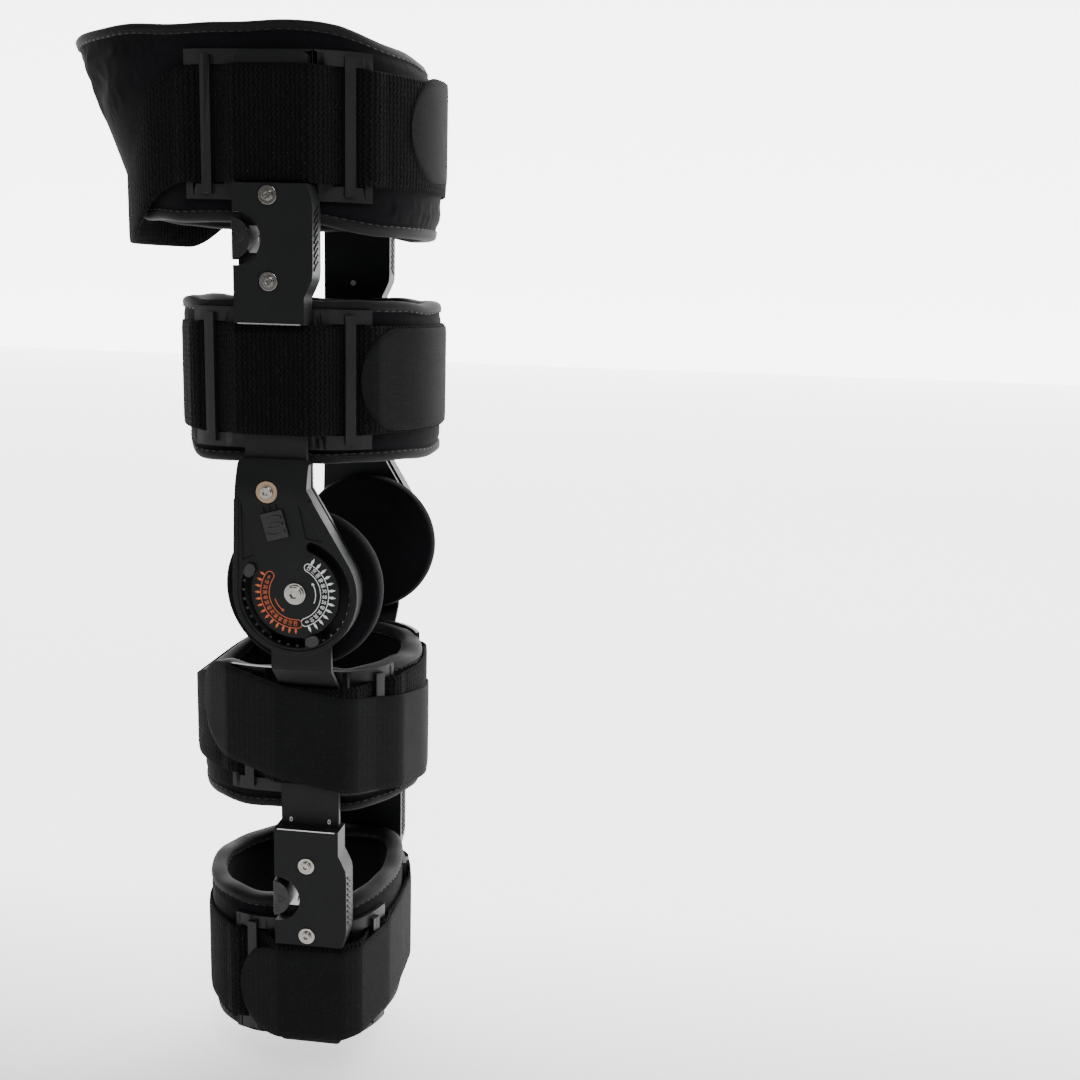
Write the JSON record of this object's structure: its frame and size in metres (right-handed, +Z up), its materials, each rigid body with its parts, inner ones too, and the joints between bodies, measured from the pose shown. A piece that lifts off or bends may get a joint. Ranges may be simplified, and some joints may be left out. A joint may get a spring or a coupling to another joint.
{
  "type": "knee brace",
  "caption": "Hinged post-operative knee brace with telescoping side bars, range-of-motion dials at the knee and strapped foam cuffs around thigh and calf.",
  "frame": {"origin": "on the knee hinge axis, in the middle of the leg", "axes": "+X to the front of the leg, -Y to its outer (lateral) side, +Z up along the thigh"},
  "size_m": [0.1732, 0.1546, 0.488],
  "materials": {
    "black_bar": "matte black anodised",
    "housing_plastic": "satin",
    "button_plastic": "satin",
    "cuff_plastic": "satin, flexible",
    "bright_steel": "polished",
    "spring_steel": "bright",
    "tan_washer": "satin",
    "foam_pad": "brushed loop fabric over foam",
    "strap_fabric": "woven loop strap"
  },
  "bodies": {
    "thigh": {"lateral_thigh_bar": "black_bar", "medial_thigh_bar": "black_bar", "lateral_hinge_cover": "housing_plastic", "medial_hinge_cover": "housing_plastic", "lateral_hinge_back_plate": "housing_plastic", "medial_hinge_back_plate": "housing_plastic", "stop_rings": "spring_steel", "pivot_screws": "bright_steel", "neck_screws": "bright_steel", "neck_washers": "tan_washer", "thigh_rivets": "bright_steel", "condyle_pads": "foam_pad", "lower_thigh_pad": "foam_pad", "lower_thigh_strap": "strap_fabric", "lateral_lower_thigh_plate": "cuff_plastic", "medial_lower_thigh_plate": "cuff_plastic"},
    "upper_thigh": {"lateral_upper_housing": "housing_plastic", "medial_upper_housing": "housing_plastic", "lateral_upper_back_shell": "housing_plastic", "medial_upper_back_shell": "housing_plastic", "upper_screws": "bright_steel", "upper_eyelets": "bright_steel", "upper_latch_springs": "spring_steel", "upper_thigh_pad": "foam_pad", "upper_thigh_strap": "strap_fabric", "lateral_upper_thigh_plate": "cuff_plastic", "medial_upper_thigh_plate": "cuff_plastic"},
    "calf": {"lateral_calf_bar": "black_bar", "medial_calf_bar": "black_bar", "pivot_bushes": "tan_washer", "calf_rivets": "bright_steel", "upper_calf_pad": "foam_pad", "upper_calf_strap": "strap_fabric", "lateral_upper_calf_plate": "cuff_plastic", "medial_upper_calf_plate": "cuff_plastic"},
    "lower_calf": {"lateral_lower_housing": "housing_plastic", "medial_lower_housing": "housing_plastic", "lateral_lower_back_shell": "housing_plastic", "medial_lower_back_shell": "housing_plastic", "lower_screws": "bright_steel", "lower_eyelets": "bright_steel", "lower_latch_springs": "spring_steel", "lower_calf_pad": "foam_pad", "lower_calf_strap": "strap_fabric", "lateral_lower_calf_plate": "cuff_plastic", "medial_lower_calf_plate": "cuff_plastic"},
    "lateral_upper_release": {"lateral_upper_button": "button_plastic", "lateral_upper_latch_plate": "spring_steel"},
    "lateral_lower_release": {"lateral_lower_button": "button_plastic", "lateral_lower_latch_plate": "spring_steel"},
    "lateral_lock": {"lateral_quick_lock": "button_plastic"},
    "lateral_flexion_setting": {"lateral_flexion_stop": "button_plastic"},
    "lateral_extension_setting": {"lateral_extension_stop": "button_plastic"},
    "medial_upper_release": {"medial_upper_button": "button_plastic", "medial_upper_latch_plate": "spring_steel"},
    "medial_lower_release": {"medial_lower_button": "button_plastic", "medial_lower_latch_plate": "spring_steel"},
    "medial_lock": {"medial_quick_lock": "button_plastic"},
    "medial_flexion_setting": {"medial_flexion_stop": "button_plastic"},
    "medial_extension_setting": {"medial_extension_stop": "button_plastic"}
  },
  "joints": [
    {"name": "upper_telescope", "type": "slide", "parent": "thigh", "child": "upper_thigh", "axis": [0, 0, 1], "range_m": [0, 0.07]},
    {"name": "knee_flexion", "type": "hinge", "parent": "thigh", "child": "calf", "pos_m": [0, 0, 0], "axis": [0, 1, 0], "range_deg": [0, 80]},
    {"name": "lower_telescope", "type": "slide", "parent": "calf", "child": "lower_calf", "axis": [0, 0, -1], "range_m": [0, 0.07]},
    {"name": "lateral_upper_press", "type": "slide", "parent": "upper_thigh", "child": "lateral_upper_release", "axis": [1, 0, 0], "range_m": [0, 0.0025], "stiffness_N_per_m": 800, "springref_m": -0.002},
    {"name": "lateral_lower_press", "type": "slide", "parent": "lower_calf", "child": "lateral_lower_release", "axis": [1, 0, 0], "range_m": [0, 0.0025], "stiffness_N_per_m": 800, "springref_m": -0.002},
    {"name": "lateral_lock_slide", "type": "slide", "parent": "thigh", "child": "lateral_lock", "axis": [0.2715, 0, -0.9624], "range_m": [0, 0.003]},
    {"name": "lateral_flexion_set", "type": "hinge", "parent": "thigh", "child": "lateral_flexion_setting", "pos_m": [0, 0, 0], "axis": [0, -1, 0], "range_deg": [0, 119]},
    {"name": "lateral_extension_set", "type": "hinge", "parent": "thigh", "child": "lateral_extension_setting", "pos_m": [0, 0, 0], "axis": [0, -1, 0], "range_deg": [0, 128]},
    {"name": "medial_upper_press", "type": "slide", "parent": "upper_thigh", "child": "medial_upper_release", "axis": [1, 0, 0], "range_m": [0, 0.0025], "stiffness_N_per_m": 800, "springref_m": -0.002},
    {"name": "medial_lower_press", "type": "slide", "parent": "lower_calf", "child": "medial_lower_release", "axis": [1, 0, 0], "range_m": [0, 0.0025], "stiffness_N_per_m": 800, "springref_m": -0.002},
    {"name": "medial_lock_slide", "type": "slide", "parent": "thigh", "child": "medial_lock", "axis": [0.2715, 0, -0.9624], "range_m": [0, 0.003]},
    {"name": "medial_flexion_set", "type": "hinge", "parent": "thigh", "child": "medial_flexion_setting", "pos_m": [0, 0, 0], "axis": [0, -1, 0], "range_deg": [0, 119]},
    {"name": "medial_extension_set", "type": "hinge", "parent": "thigh", "child": "medial_extension_setting", "pos_m": [0, 0, 0], "axis": [0, -1, 0], "range_deg": [0, 128]}
  ]
}
